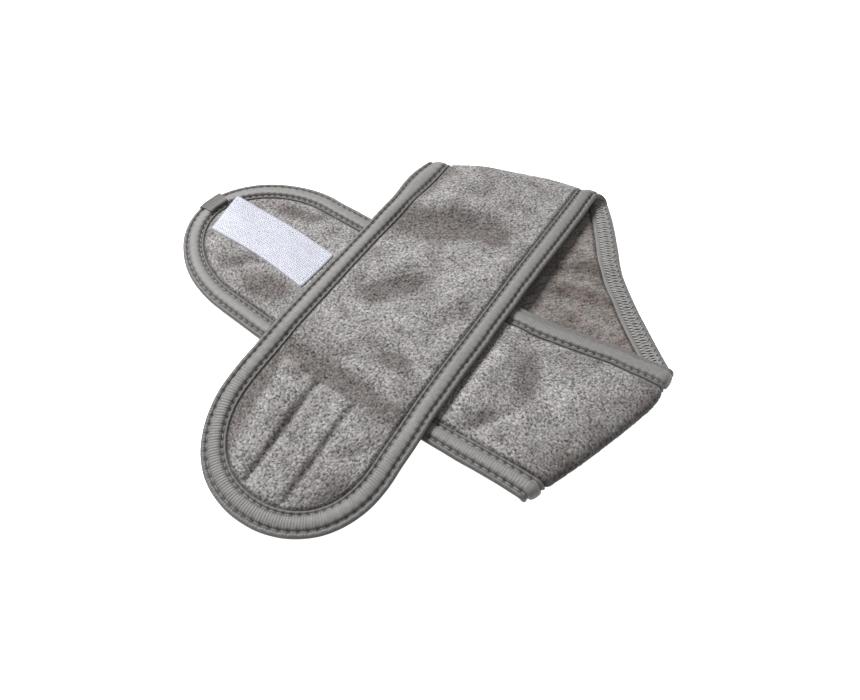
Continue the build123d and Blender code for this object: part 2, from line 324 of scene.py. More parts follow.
def painted_shade_and_streaks(x, t):
    """Painted shade and light on the pile, 0 to 1: lightest on a ridge, darkest in a dent and along the
    right fold, with random streaks where it lies the other way.
    """
    # the painted marks join the real dents and ridges here, for colour only
    front = creased(x, t, FRONT_CREASES + PAINTED_LIGHT_AND_SHADE_MARKS)
    lower = creased(x - LOWER_START, t, LOWER_CREASES)
    middle = creased(x - MIDDLE_START, t, MIDDLE_CREASES)
    relief = np.where(x < front_line(t), front, np.where(x > LOWER_START, lower, middle))
    # painted light on ridges: the painted shade lifts there
    off_ridge_shade = OFF_RIDGE_SHADE * (1 - smooth(relief / FULL_LIGHT_HEIGHT))
    # painted shade along the right fold, where it turns away from the light
    past_right = x - right_fold_line(t) - RIGHT_ROLL / 2
    fold_shade = FOLD_SHADE * (0.6 + 0.5 * (t / HALF) ** 2) * (1 - smooth(past_right / FOLD_SHADE_REACH))
    fold_shade = np.where(past_right > -RIGHT_ROLL / 2, fold_shade, 0)
    streaks = mottle((x + 1.6 * t) / 2.4, x - 0.6 * t, 0.0075, 81)
    lie = STREAK_TONE * smooth((streaks - 0.35) / 0.6)
    # painted shade in dents, added to the ridge light, the streaks and the fold shade
    return np.clip(off_ridge_shade + smooth(-relief / FULL_SHADE_DEPTH) + lie + fold_shade, 0, 1)


def swell(along, shape):
    """How far an edge swells out, at a distance along it."""
    size, start, stop = shape
    return size * arch((along - start) / (stop - start), 1.5)


def clear_of_edges(past_fold, t, length=0.015):
    """1 in the run, falling to 0 at the fold and at both bound edges, where no dent reaches."""
    return smooth((past_fold - 0.004) / length) * smooth((HALF - np.abs(t)) / 0.012)


def front_height(x, t):
    start, length = LOOP_DROP
    settled = smooth((-x - start) / length)
    wave = np.sin(-x / 0.031 + t / 0.05) * np.sin(t / 0.026 + 0.6) * smooth((-x - 0.012) / 0.02)
    left_sag, right_sag = CORNER_SAG
    sag = left_sag * smooth((t - 0.012) / 0.033) + right_sag * smooth((-t - 0.012) / 0.033)
    sag = sag * smooth(1 + x / 0.07)
    dents = creased(x, t, FRONT_CREASES) * clear_of_edges(-x, t, 0.02)
    near, far = OVERLAP
    over = smooth((-x - near) / 0.012) * smooth((far + x) / 0.012)
    dents = np.maximum(dents, -DENT_LIMIT - 0.004 * (1 - over)) - SETTLED * over
    height = FRONT_Z + (TABLE_Z - FRONT_Z) * settled + RIPPLE * (1 + wave) * (1 - settled) - sag + dents
    return np.maximum(height, TABLE_Z)


def lower_height(x, t):
    start, length = LOWER_DROP
    settled = smooth((x - start) / length)
    past_fold = x - RIGHT_SLANT * t
    dents = creased(x, t, LOWER_CREASES) * clear_of_edges(past_fold, t)
    hump = FOLD_HUMP * (1 - (t / HALF) ** 2) * (1 - smooth(past_fold / 0.038))
    return np.maximum(LOWER_Z + (TABLE_Z - LOWER_Z) * settled + dents + hump, TABLE_Z)


def middle_height(x, t):
    dents = creased(x, t, MIDDLE_CREASES) * clear_of_edges(x - TOP_SLANT * t, t)
    return TABLE_Z + np.maximum(-dents, 0)


def edge_pull(x, t):
    """How far the lower run's edges move: the far one towards its middle, the near one outwards."""
    start = 0.012
    far = EDGE_PULL * arch((x - start) / 2 / (EDGE_PULL_PLACE - start), 1.2) * smooth(-t / 0.03)
    return far + swell(x, LOWER_SWELL) * smooth(t / 0.04)


def fold_tuck(x, t):
    """How far both runs are pushed along the table, at the right fold's upper corner."""
    before = right_fold_line(t) - x
    away = np.maximum(np.maximum(before, -before - RIGHT_ROLL), 0)
    tuck = smooth((-t - 0.024) / 0.021) * bell(away / 0.014)
    return tuck[..., None] * np.array(FOLD_TUCK)


def raised(xy, z):
    return np.concatenate([xy, z[..., None]], -1)


def lay(x, t):
    """Points of the sheet's middle surface."""
    flat = top_place + x[..., None] * front_heading + t[..., None] * front_left
    past = (flat - top_place) @ top_outward
    at_shoulder = smooth((t - 0.033) / 0.012)
    at_far_edge = smooth(-t / 0.03)
    swerve = LOOP_TAIL_SWERVE * smooth((-x - 0.12) / 0.09)
    swerve = swerve + swell(-x, SHOULDER) * at_shoulder
    front = raised(flat + swerve[..., None] * front_left, front_height(x, t))

    turn = np.clip(past / TOP_FOLD_RADIUS, 0, pi)
    roll_height = front_height(np.minimum(front_line(t), x), t) - TABLE_Z
    out = roll_height / 2 * np.sin(turn) - past
    near_swell = swell(-front_line(t), SHOULDER) * at_shoulder * (1 - smooth(turn / pi))
    far_swell = swell(0, HIP) * at_far_edge * smooth(1.4 * turn / pi)
    rolled = flat + out[..., None] * top_outward + near_swell[..., None] * front_left
    rolled = rolled + far_swell[..., None] * left_of(direction(middle_angle))
    top_roll = raised(rolled, TABLE_Z + roll_height * (1 + np.cos(turn)) / 2)

    along = x - MIDDLE_START
    centre, angle = middle_centre(along)
    across = np.stack([np.sin(angle), -np.cos(angle)], -1)
    far_edge = t - swell(along - TOP_SLANT * t, HIP) * at_far_edge
    under = centre + far_edge[..., None] * across
    beyond = (under - middle_end) @ right_outward
    tuck = fold_tuck(x, t)
    middle = raised(under + tuck, middle_height(along, t))

    turn = np.clip(beyond / RIGHT_FOLD_RADIUS, 0, pi)
    reach = FOLD_REACH + FOLD_BULGE * (1 - (t / HALF) ** 2) + FOLD_SKEW * t / HALF
    out = reach * np.sin(turn) - beyond
    rise = TABLE_Z + (lower_height(RIGHT_SLANT * t, t) - TABLE_Z) / 2 * (1 - np.cos(turn))
    right_roll = raised(under + out[..., None] * right_outward + tuck, rise)

    along = x - LOWER_START
    pulled = t + edge_pull(along, t)
    over = lower_start + along[..., None] * lower_heading + pulled[..., None] * lower_left
    lower = raised(over + tuck, lower_height(along, t))

    parts = [past <= 0, past <= top_turn, beyond <= 0, beyond <= right_turn]
    return np.select([part[..., None] for part in parts], [front, top_roll, middle, right_roll], lower)


def place(x, t, h):
    """Points at height h over the sheet, square to it."""
    x, t, h = np.broadcast_arrays(x, t, h)
    step = 0.00015
    along = lay(x + step, t) - lay(x - step, t)
    across = lay(x, t + step) - lay(x, t - step)
    normal = np.cross(along, across)
    normal /= np.linalg.norm(normal, axis=-1, keepdims=True)
    return lay(x, t) + normal * h[..., None]


def tail_inset(beyond, t, rounding, squareness):
    """Distance in from a tail's rounded edge, for points `beyond` its straight sides."""
    low = np.zeros(t.shape)
    high = np.full(t.shape, HALF - 0.0001)
    for _ in range(16):
        middle = (low + high) / 2
        along = (beyond / (rounding - middle)) ** squareness
        outside = along + (np.abs(t) / (HALF - middle)) ** squareness > 1
        high = np.where(outside, middle, high)
        low = np.where(outside, low, middle)
    return low


def inset(x, t):
    """Distance in from the strip's nearest bound edge."""
    straight = HALF - np.abs(t)
    loop_end = tail_inset(np.maximum(LOOP_TAIL_ROUND - x, 0), t, LOOP_ROUNDING, LOOP_SQUARENESS)
    hook_end = tail_inset(np.maximum(x - HOOK_TAIL_ROUND, 0), t, HOOK_ROUNDING, HOOK_SQUARENESS)
    return np.where(x < LOOP_TAIL_ROUND, loop_end, np.where(x > HOOK_TAIL_ROUND, hook_end, straight))


def powered(value, power):
    return np.sign(value) * np.abs(value) ** power


# ---- random textures, always the same ----

def scatter(column, row, seed):
    """A number from 0 to 1 for each square of a grid."""
    n = (column * 374761393 + row * 668265263 + seed * 2246822519) & 0xFFFFFFFF
    n = ((n ^ (n >> 13)) * 1274126177) & 0xFFFFFFFF
    return ((n ^ (n >> 16)) & 0xFFFF) / 65535.0


def mottle(x, t, size, seed):
    """Smooth random field with features of about `size`."""
    u, v = x / size, t / size
    column, row = np.floor(u).astype(int), np.floor(v).astype(int)
    fu, fv = smooth(u - column), smooth(v - row)
    near, far = (scatter(column, r, seed) * (1 - fu) + scatter(column + 1, r, seed) * fu
                 for r in (row, row + 1))
    return near * (1 - fv) + far * fv


def tufts(x, t, size, stretch, seed):
    """Domes of pile, one in each square of a grid, each with its own place and height."""
    u, v = x / size, t / (size * stretch)
    column, row = np.floor(u).astype(int), np.floor(v).astype(int)
    best = np.zeros(x.shape)
    for i in (-1, 0, 1):
        for j in (-1, 0, 1):
            a, b = column + i, row + j
            du = a + 0.15 + 0.7 * scatter(a, b, seed) - u
            dv = b + 0.15 + 0.7 * scatter(a, b, seed + 1) - v
            top = 0.6 + 0.4 * scatter(a, b, seed + 2)
            best = np.maximum(best, top * (1 - (du * du + dv * dv) / 0.95))
    return best


def outside_x(x, t):
    """Place along the pile itself, which is stretched round the outside of each fold."""
    over_top = np.clip(x - front_line(t), 0, TOP_ROLL)
    round_right = np.clip(x - right_fold_line(t), 0, RIGHT_ROLL)
    return x + TOP_STRETCH * over_top + RIGHT_STRETCH * round_right


def face_pile(x, t):
    """Height of the sheared face pile, 0 to 1."""
    x = outside_x(x, t)
    grain = tufts(x, t, TUFT, 1.0, 11)
    fuzz = mottle(x, t, 0.0007, 21)
    lie = mottle(x, t, 0.0045, 31)
    return np.clip(1.35 * (0.62 * grain + 0.25 * fuzz + 0.13 * lie) - 0.3, 0, 1)


def back_pile(x, t):
    """Height of the looser loops on the back, drawn out across the strip."""
    bend = 0.0016 * mottle(x, t, 0.006, 61)
    loops = tufts(x + bend, t, 0.0013, 2.6, 41)
    lie = mottle(x, t, 0.005, 51)
    return np.clip(0.75 * loops + 0.25 * lie, 0, 1)


# ---- meshes ----

def add_attribute(piece, name, values):
    """One number or one vector for each point."""
    kind, field = ("FLOAT_VECTOR", "vector") if values.ndim == 3 else ("FLOAT", "value")
    attribute = piece.data.attributes.new(name, kind, "POINT")
    attribute.data.foreach_set(field, values.astype(np.float32).ravel())


def add_object(name, data):
    thing = bpy.data.objects.new(name, data)
    bpy.context.scene.collection.objects.link(thing)
    return thing


def make_piece(name, points, faces, normals=None):
    mesh = bpy.data.meshes.new(name)
    mesh.from_pydata(points.tolist(), [], faces)
    mesh.polygons.foreach_set("use_smooth", np.ones(len(faces), bool))
    if normals is not None:
        mesh.normals_split_custom_set_from_vertices(normals.tolist())
    mesh.update()
    return add_object(name, mesh)


def ring_faces(rows, columns, offset=0):
    """Quads of a closed tube of `rows` rings, and its two end caps."""
    index = np.arange(rows * columns).reshape(rows, columns) + offset
    beside = np.roll(index, -1, 1)
    quads = np.stack([index[:-1], beside[:-1], beside[1:], index[1:]], -1).reshape(-1, 4)
    return quads.tolist() + [index[0, ::-1].tolist(), index[-1].tolist()]


def unit(vectors):
    return vectors / (np.linalg.norm(vectors, axis=-1, keepdims=True) + 1e-12)


def stations(rows):
    """Places from 0 to 1 along a piece, with one more beyond each end."""
    return (np.arange(-1, rows + 2) / rows)[:, None]


def skin(name, grid, flat, height_shade):
    """A piece whose section goes once round: rows along the strip, columns round the section.

    The first and last rows only steady the shading where one piece meets the next. `flat` tells the
    materials where on the flat piece each point lies.
    """
    along = grid[2:] - grid[:-2]
    around = np.roll(grid, -1, 1) - np.roll(grid, 1, 1)
    normals = unit(np.cross(around[1:-1], along))
    body = grid[1:-1]
    faces = ring_faces(*body.shape[:2])
    if np.sum(normals * (body - body.mean(1, keepdims=True))) < 0:
        normals = -normals
    points, normals = body.reshape(-1, 3), normals.reshape(-1, 3)
    first, second, _, last = np.array(faces[:-2]).T
    facing = np.cross(points[second] - points[first], points[last] - points[first])
    if np.sum(facing * normals[first]) < 0:
        faces = [face[::-1] for face in faces]
    piece = make_piece(name, points, faces, normals)
    add_attribute(piece, "flat", np.stack(np.broadcast_arrays(*flat), -1)[1:-1])
    # each point's height, which the materials paint as shade where low and as light where high
    add_attribute(piece, "height_shade", height_shade[1:-1])
    return piece


def tubes(name, paths, radii, sides=6):
    """Threads: one closed tube along each path of a stack of paths."""
    along = unit(np.gradient(paths, axis=1))
    level = unit(np.cross(along, [0.0, 0.0, 1.0]))
    lift = np.cross(level, along)
    turn = np.arange(sides) * 2 * pi / sides
    ring = level[:, :, None] * np.cos(turn)[:, None] + lift[:, :, None] * np.sin(turn)[:, None]
    points = paths[:, :, None] + ring * radii[None, :, None, None]
    count, rows = paths.shape[:2]
    faces = []
    for i in range(count):
        faces += ring_faces(rows, sides, i * rows * sides)
    piece = make_piece(name, points.reshape(-1, 3), faces)
    run = np.linspace(0, 1, rows)[None, :, None] + np.arange(count)[:, None, None]
    flat = np.stack(np.broadcast_arrays(run, turn / pi, 0.0), -1)
    add_attribute(piece, "flat", flat.reshape(count, -1, 3))
    return piece


# ---- bound edges ----

def fade(distance, length):
    return np.clip(1 - distance / length, 0, 1)


def side_border(line_a, line_b, side):
    """One edge between two slanted lines. Returns its length and its path: (s, w) to (x, t)."""
    edge = side * HALF
    length = line_b(edge) - line_a(edge)
    turning = FADE_LENGTH if length > 2 * FADE_LENGTH else length

    def path(s, w):
        t = side * (HALF - w)
        slant_a = fade(s, turning) * (line_a(t) - line_a(edge))
        slant_b = fade(length - s, turning) * (line_b(t) - line_b(edge))
        return line_a(edge) + s + slant_a + slant_b, t

    return length, path


def tail_border(line, round_start, toward, rounding, squareness):
    """Both edges from a slanted line to a tail, and round it."""
    first = abs(round_start - line(HALF))
    second = abs(round_start - line(-HALF))
    angles = np.linspace(pi / 2, -pi / 2, 1200)
    power = 2 / squareness

    def round_end(angle, w):
        along = (rounding - w) * powered(np.cos(angle), power)
        return round_start + toward * along, (HALF - w) * powered(np.sin(angle), power)

    curve = np.stack(round_end(angles, BINDING_WIDTH / 2), -1)
    walked = np.concatenate([[0], np.cumsum(np.linalg.norm(np.diff(curve, axis=0), axis=1))])
    length = first + walked[-1] + second

    def path(s, w):
        back = length - s
        end_x, end_t = round_end(np.interp(s - first, walked, angles), w)
        going = line(HALF) + toward * s + fade(s, FADE_LENGTH) * (line(HALF - w) - line(HALF))
        coming = line(-HALF) + toward * back + fade(back, FADE_LENGTH) * (line(w - HALF) - line(-HALF))
        x = np.where(s < first, going, np.where(back < second, coming, end_x))
        return x, np.where(s < first, HALF - w, np.where(back < second, w - HALF, end_t))

    return length, path


def rounded(u):
    u = np.clip(u, 0, 1)
    return np.sqrt(1 - (1 - u) ** 2)


def pinch(s):
    """1 at each needle hole, 0 between."""
    return (0.5 + 0.5 * np.cos(2 * pi * s / STITCH_PITCH)) ** 1.5


def binding_face(s, w, ribs, outer_pull):
    """Height of the binding on the face: rounded edge, two pinched needle rows, a full band, a lip."""
    outer, inner = NEEDLE_INSETS
    body = BINDING_EDGE * rounded(w / 0.0015) * rounded((BINDING_WIDTH - w) / 0.0009)
    crown = BINDING_CROWN * arch((w - outer) / (inner - outer), 0.55)
    spread = 0.00052 + 0.00032 * pinch(s)
    sunk = 0.00075 + 0.0003 * pinch(s)
    outer_row = outer_pull * sunk * bell((w - outer) / spread)
    inner_row = sunk * bell((w - inner) / spread)
    band = smooth((w - outer) / 0.0008) * smooth((inner - w) / 0.0008)
    margin = smooth(w / 0.0008) * smooth((outer - w) / 0.0004)
    rib = np.abs(np.sin(pi * s / RIB_PITCH)) - 0.6
    ribbing = RIB_HEIGHT * ribs * rib * (band + 0.6 * margin)
    return body + crown - outer_row - inner_row + ribbing


def binding_back(s, w):
    rib = np.abs(np.sin(pi * s / RIB_PITCH)) - 0.6
    edge = rounded(w / 0.0013) * rounded((BINDING_WIDTH - w) / 0.0022)
    return -edge * (BINDING_BACK + 0.00008 * rib)


# where the binding's section has points, in millimetres in from the edge
FACE_STATIONS = (0, 0.15, 0.45, 0.9, 1.4, 1.9, 2.25, 2.5, 2.7, 2.95, 3.25, 3.6, 4.1, 4.8, 5.5, 6.2,
                 6.9, 7.5, 8, 8.4, 8.75, 9.05, 9.3, 9.5, 9.75, 10.1, 10.5, 10.8, 11, 11.15)
BACK_STATIONS = (11.15, 10.9, 10.4, 9.3, 8, 6.5, 5, 3.5, 2.2, 1.2, 0.6, 0.2)


def upper_edge(s):
    """1 along the tail's run, falling where the lower run's upper binding lies smooth."""
    return 1 - 0.85 * smooth((s - lower_border[0] + 0.15) / 0.03)


def make_binding(name, border, ribs):
    """The satin tape folded over one edge. `ribs` tells how strongly it is drawn into ribs along s."""
    length, path = border
    rows = int(round(length / ROW_STEP))
    s = stations(rows) * length
    w = np.array(FACE_STATIONS + BACK_STATIONS) * 0.001
    on_face = np.arange(len(w)) < len(FACE_STATIONS)
    outer_pull = upper_edge(s) if name.startswith("lower") else 1.0
    h = np.where(on_face, binding_face(s, w, ribs(s), outer_pull), binding_back(s, w))
    wander = 0.0003 * (mottle(s, s * 0, 0.009, 71) - 0.5) * smooth(1 - w / BINDING_WIDTH)
    points = place(*path(s, w + wander), h)
    # the binding's height, which its material paints as light where proud and as shade where low
    return skin(name, points, (s, w, on_face), np.where(on_face, np.clip(h / 0.0022, 0, 1), 0.75))


def make_needle_threads(name, border):
    """Two rows of short stitches that dip into the binding at each end."""
    length, path = border
    u = np.linspace(0, 1, 9)
    s = (np.arange(int(length / STITCH_PITCH))[:, None] + 0.06 + 0.88 * u) * STITCH_PITCH
    paths = []
    for w, rest in zip(NEEDLE_INSETS, (0.0002, 0.0003)):
        paths.append(place(*path(s, w), rest + 0.00055 * arch(u, 0.7)))
    radii = NEEDLE_THREAD * np.array([0.5, 0.8, 1, 1, 1, 1, 1, 0.8, 0.5])
    return tubes(name, np.concatenate(paths), radii)


def make_looper_threads(name, border):
    """The reverse of the cover stitch: zigzags between the rows and a bead at each outer stitch."""
    length, path = border
    outer, inner = NEEDLE_INSETS
    stitch = np.arange(int(length / STITCH_PITCH))[:, None]
    u = np.linspace(0, 1, 13)
    strands = []
    for lean in (0, 0.5):
        s = (stitch + lean + u + 0.22 * np.sin(pi * u)) * STITCH_PITCH
        zigzag = path(np.minimum(s, length), outer + (inner - outer) * np.abs(2 * u - 1) ** 1.3)
        strands.append(place(*zigzag, -0.00145 - 0.00014 * np.sin(pi * u * 2 + lean * pi)))
    bead = path((stitch + 0.5) * STITCH_PITCH, outer - 0.0007 + 0.0013 * u)
    strands.append(place(*bead, -0.0013 - 0.00025 * np.sin(pi * u)))
    radii = np.full(len(u), LOOPER_THREAD)
    radii[[0, -1]] *= 0.5
    return tubes(name, np.concatenate(strands), radii)


# ---- towelling ----

def tape_channels(x, t):
    """Depth of the grooves that the loop tape's seam pulls into the face."""
    start, stop, offset = LOOP_TAPE
    half = TAPE_HALF_WIDTH - SEAM_INSET
    along, aside = -x, np.abs(t - offset)
    held = smooth((along - start - 0.0005) / 0.002) * smooth((stop + 0.009 - along) / 0.003)
    left = 1 + CHANNEL_LEFT * (t > offset)
    sides = left * bell((aside - half) / CHANNEL_SPREAD) * held
    across = smooth((half + 0.0006 - aside) / 0.001)
    inner_end = 0.7 * bell((along - start - 0.0015) / 0.0014) * across
    puffed = 0.35 * held * smooth((half - aside) / 0.005)
    return CHANNEL_DEPTH * (np.maximum(sides, inner_end) - puffed)


def past_binding(w):
    """0 inside the binding, 1 where the cloth has its full thickness."""
    return smooth((w - PILE_START) / PILE_RISE)


def towel_face(x, t):
    """Height of the face, and of the pile on it."""
    w = inset(x, t)
    body = past_binding(w)
    height_shade = face_pile(x, t)
    channels = tape_channels(x, t) * smooth((w - BINDING_WIDTH - 0.0002) / 0.0028)
    top = HEM_THICKNESS + (FACE - HEM_THICKNESS) * body
    return top - body * PILE_RELIEF * (1 - height_shade) - channels, height_shade * body


def towel_back(x, t):
    """Height of the back, and of the loops on it, which the loop tape flattens."""
    start, stop, offset = LOOP_TAPE
    rim = 0.0006
    body = past_binding(inset(x, t))
    height_shade = back_pile(x, t)
    under_tape = smooth((TAPE_HALF_WIDTH + rim - np.abs(t - offset)) / rim)
    under_tape = under_tape * smooth((-x - start) / rim) * smooth((stop + x) / rim)
    sunk = TAPE_SINK * under_tape + body * BACK_RELIEF * (1 - height_shade) * (1 - under_tape)
    return sunk - HEM_THICKNESS - (FACE - HEM_THICKNESS) * body, height_shade * body


def across_stations(step):
    """Places across the strip, close together on the pile and wide apart inside the binding."""
    visible = HALF - BINDING_WIDTH + 0.0008
    count = int(round(2 * visible / step))
    hem = HALF - HEM_INSET
    beside = hem - 0.0025
    return np.concatenate([[hem, beside], np.linspace(visible, -visible, count), [-beside, -hem]])


def make_cloth(name, start, stop, longest):
    """Towelling between two lines across the strip: the sheared face and the looped back."""
    top, under = across_stations(PILE_STEP), across_stations(BACK_STEP)[::-1]
    t = np.concatenate([top, under])
    on_face = np.arange(len(t)) < len(top)
    rows = int(round(longest / PILE_STEP))
    x = start(t) + (stop(t) - start(t)) * stations(rows)
    t = np.broadcast_to(t, x.shape)
    h, height_shade = np.where(on_face, towel_face(x, t), towel_back(x, t))
    piece = skin(name, place(x, t, h), (outside_x(x, t), t, on_face), height_shade)
    # painted shade in dents and along the right fold, painted light on ridges, and random streaks
    add_attribute(piece, "shade_and_streaks", painted_shade_and_streaks(x, t)[1:-1])
    looped = np.append(np.tile(~on_face, rows), [0, 0])
    piece.data.polygons.foreach_set("material_index", looped.astype(np.int32))
    return piece


def tail_stop(round_start, toward, rounding, squareness):
    """Where the towelling ends inside a tail's binding."""

    def line(t):
        across = np.clip(np.abs(t) / (HALF - HEM_INSET), 0, 1)
        along = (1 - across ** squareness) ** (1 / squareness)
        return round_start + toward * (rounding - HEM_INSET) * along

    return line


# ---- tapes ----

def straight(x, t):
    return x, t, 0


def hook_tape_lie(x, t):
    """The hook tape is sewn a little askew and bowed, and its tail end climbs the binding."""
    start, stop, offset = HOOK_TAPE
    u = (x - LOWER_START - start) / (stop - start)
    x = x + HOOK_TAPE_SKEW * smooth((u - 0.6) / 0.4) * (0.45 - (t - offset) / TAPE_HALF_WIDTH / 2)
    t = t + (0.0016 * (1 - u) - HOOK_TAPE_BOW * arch(u))
    climb = 0.0013 * smooth((u - 0.72) / 0.28) * smooth(0.6 - (t - offset) / TAPE_HALF_WIDTH / 2)
    return x, t, climb


def place_lain(lie, x, t, h):
    """Points over the sheet, on a tape that lies askew or climbs."""
    lain_x, lain_t, climb = lie(x, t)
    return place(lain_x, lain_t, h + climb)


def make_tape(name, start, stop, offset, low, high, relief, lie=straight):
    """A length of tape on the sheet, between two heights; `relief` shapes its outer side."""
    half = TAPE_HALF_WIDTH
    face_t = np.linspace(half, -half, int(2 * half / TAPE_STEP))
    t = np.concatenate([face_t, [-half, -half, half, half]]) + offset
    outer = np.arange(len(t)) < len(face_t)
    rows = int((stop - start) / TAPE_STEP)
    x = np.linspace(start - TAPE_STEP, stop + TAPE_STEP, rows + 2)[:, None]
    near_end = np.minimum(x - start, stop - x)
    rim = np.minimum(half - np.abs(t - offset), near_end)
    eased = rounded((rim + 0.0001) / 0.0004)
    x, t = np.broadcast_arrays(x, t)
    narrowing = TAPE_CORNER * (1 - rounded((near_end + 0.00005) / TAPE_CORNER))
    t = offset + (t - offset) * (1 - narrowing / half)
    h = np.where(outer, low + (high - low + relief(x, t)) * eased, low)
    height_shade = np.clip((h - low) / (high - low), 0, 1)
    return skin(name, place_lain(lie, x, t, h), (x, t, h), height_shade)


def hook_ground(x, t):
    """Woven ground of the hook tape: fine wales along it."""
    return 0.00005 * np.cos(2 * pi * t / HOOK_PITCH) + 0.00004 * mottle(x, t, 0.0008, 91)


def loop_nap(x, t):
    """Brushed loops of the loop tape, towards the table."""
    return -0.00025 * tufts(x, t, 0.0011, 1.0, 95)


def make_hooks(name, start, stop, offset, foot):
    """Rows of small bent hooks, alternate rows leaning opposite ways."""
    xs = np.arange(start + 0.0012, stop - 0.0008, HOOK_PITCH)
    ts = np.arange(offset - TAPE_HALF_WIDTH + 0.001, offset + TAPE_HALF_WIDTH - 0.0008, HOOK_PITCH)
    row, column = (a.ravel() for a in np.indices((len(xs), len(ts))))
    lean = 1 - 2 * (column % 2)
    jitter = (scatter(row, column, 5) - 0.5) * 0.0003
    stem, curl = 0.00028, 0.0002
    turn = np.linspace(0, 1.25 * pi, 8)
    past_stem = turn - pi / 4
    rise = np.where(past_stem < 0, turn / (pi / 4) * stem, stem + curl * np.sin(past_stem))
    reach = np.where(past_stem < 0, 0, curl * (1 - np.cos(past_stem)))
    x = (xs[row] + jitter)[:, None] + lean[:, None] * reach
    t = (ts[column] + jitter[::-1])[:, None]
    paths = place_lain(hook_tape_lie, x, t, foot + rise)
    radii = np.full(8, 0.00009)
    radii[0] *= 1.5
    return tubes(name, paths, radii, sides=4)


def seam_path(start, stop, offset, toward, origin):
    """Stitches of a U-shaped seam: along one side, across the inner end and back. Flat (x, t) ends."""
    half = TAPE_HALF_WIDTH - SEAM_INSET
    begin = start + SEAM_INSET
    pitch = 0.0026
    ends = []
    corners = [(stop - 0.0006, half), (begin, half), (begin, -half), (stop - 0.0006, -half)]
    for (xa, ta), (xb, tb) in zip(corners, corners[1:]):
        count = max(int(np.hypot(xb - xa, tb - ta) / pitch), 1)
        for i in range(count):
            a, b = (i + 0.1) / count, (i + 0.9) / count
            ends.append((xa + (xb - xa) * a, ta + (tb - ta) * a, xa + (xb - xa) * b, ta + (tb - ta) * b))
    xa, ta, xb, tb = np.array(ends).T[..., None]
    return origin + toward * xa, ta + offset, origin + toward * xb, tb + offset


def make_seam(name, ends, height, radius, lie=straight):
    """Straight stitches between pairs of flat points, arched over the cloth."""
    xa, ta, xb, tb = ends
    u = np.linspace(0, 1, 8)
    x, t = xa + (xb - xa) * u, ta + (tb - ta) * u
    radii = np.full(8, radius)
    radii[[0, -1]] *= 0.6
    return tubes(name, place_lain(lie, x, t, height(x, t) + 0.00022 * arch(u, 0.6)), radii)


# ---- join cuff ----

def make_join_tab(name, path, centre):
    """The binding's end: a short cuff folded over the edge, open at its lower end."""
    v = stations(40)
    s = centre + (2 * v - 1) * CUFF_HALF_LENGTH
    puff = 0.0005 + 0.0007 * v ** 2
    around = np.linspace(0, 1, 34)
    w_out, w_in = (CUFF_REACH - (CUFF_REACH + past) * arch(around, 0.8) for past in (0.0005, 0.0002))
    h_out, h_in = (height * np.cos(pi * around) for height in (CUFF_FACE, FACE))
    w = np.concatenate([w_out, w_in[::-1]])
    h = np.concatenate([h_out, h_in[::-1]])
    outer = np.arange(len(w)) < len(w_out)
    top = h > 0
    lifted = h + puff * outer + 0.0006 * v ** 2 * (1 - outer)
    h = np.where(top, lifted, np.maximum(h, 0.0002 * (1 - outer) - CUFF_BACK))
    knit = 0.00011 * outer * (np.sin(2 * pi * s / 0.0013) + np.sin(2 * pi * w / 0.0016 + s / 0.0013))
    h = h + knit * top
    # the cuff's height, which its material paints as light where proud and as shade where low
    return skin(name, place(*path(s, w), h), (s, w, 1.0), np.clip(h / 0.004, 0, 1))


# ---- materials ----

class Shader:
    """A node material built around one Principled shader."""

    def __init__(self, name, roughness, sheen=0.0, sheen_roughness=0.5, specular=0.4):
        self.material = bpy.data.materials.new(name)
        self.material.use_nodes = True
        self.tree = self.material.node_tree
        self.surface = self.tree.nodes["Principled BSDF"]
        settings = {"Roughness": roughness, "Sheen Weight": sheen, "Sheen Roughness": sheen_roughness,
                    "Specular IOR Level": specular}
        for key, value in settings.items():
            self.feed(self.surface.inputs[key], value)

    def feed(self, socket, value):
        """Set a socket, or link another node's output to it."""
        if hasattr(value, "is_output"):
            self.tree.links.new(value, socket)
        else:
            socket.default_value = value

    def node(self, kind, **values):
        node = self.tree.nodes.new(kind)
        for key, value in values.items():
            self.feed(node.inputs[key], value)
        return node

    def attribute(self, name, output):
        node = self.tree.nodes.new("ShaderNodeAttribute")
        node.attribute_name = name
        return node.outputs[output]

    def noise(self, vector, scale, detail, distortion=0.0):
        node = self.node("ShaderNodeTexNoise", Vector=vector, Scale=scale, Detail=detail,
                         Distortion=distortion)
        return node.outputs["Fac"]

    def math(self, operation, a, b):
        node = self.tree.nodes.new("ShaderNodeMath")
        node.operation = operation
        for socket, value in zip(node.inputs, (a, b)):
            self.feed(socket, value)
        return node.outputs[0]

    def weigh(self, a, share_a, b, share_b):
        """Two values added together, each by its share."""
        return self.math("ADD", self.math("MULTIPLY", a, share_a), self.math("MULTIPLY", b, share_b))

    def ramp(self, factor, *stops):
        node = self.tree.nodes.new("ShaderNodeValToRGB")
        self.feed(node.inputs["Fac"], factor)
        for element, (position, colour) in zip(node.color_ramp.elements, stops):
            element.position = position
            element.color = (*colour, 1)
        return node.outputs["Color"]

    def tint(self, colour, tone):
        """One colour multiplied by another."""
        node = self.tree.nodes.new("ShaderNodeMix")
        node.data_type = "RGBA"
        node.blend_type = "MULTIPLY"
        sockets = [s for s in node.inputs if s.enabled]
        for socket, value in zip(sockets, (1.0, colour, tone)):
            self.feed(socket, value)
        return next(s for s in node.outputs if s.enabled)

    def colour(self, source):
        self.feed(self.surface.inputs["Base Color"], source)

    def bump(self, height, distance, strength=1.0):
        node = self.node("ShaderNodeBump", Height=height, Distance=distance, Strength=strength)
        self.feed(self.surface.inputs["Normal"], node.outputs["Normal"])


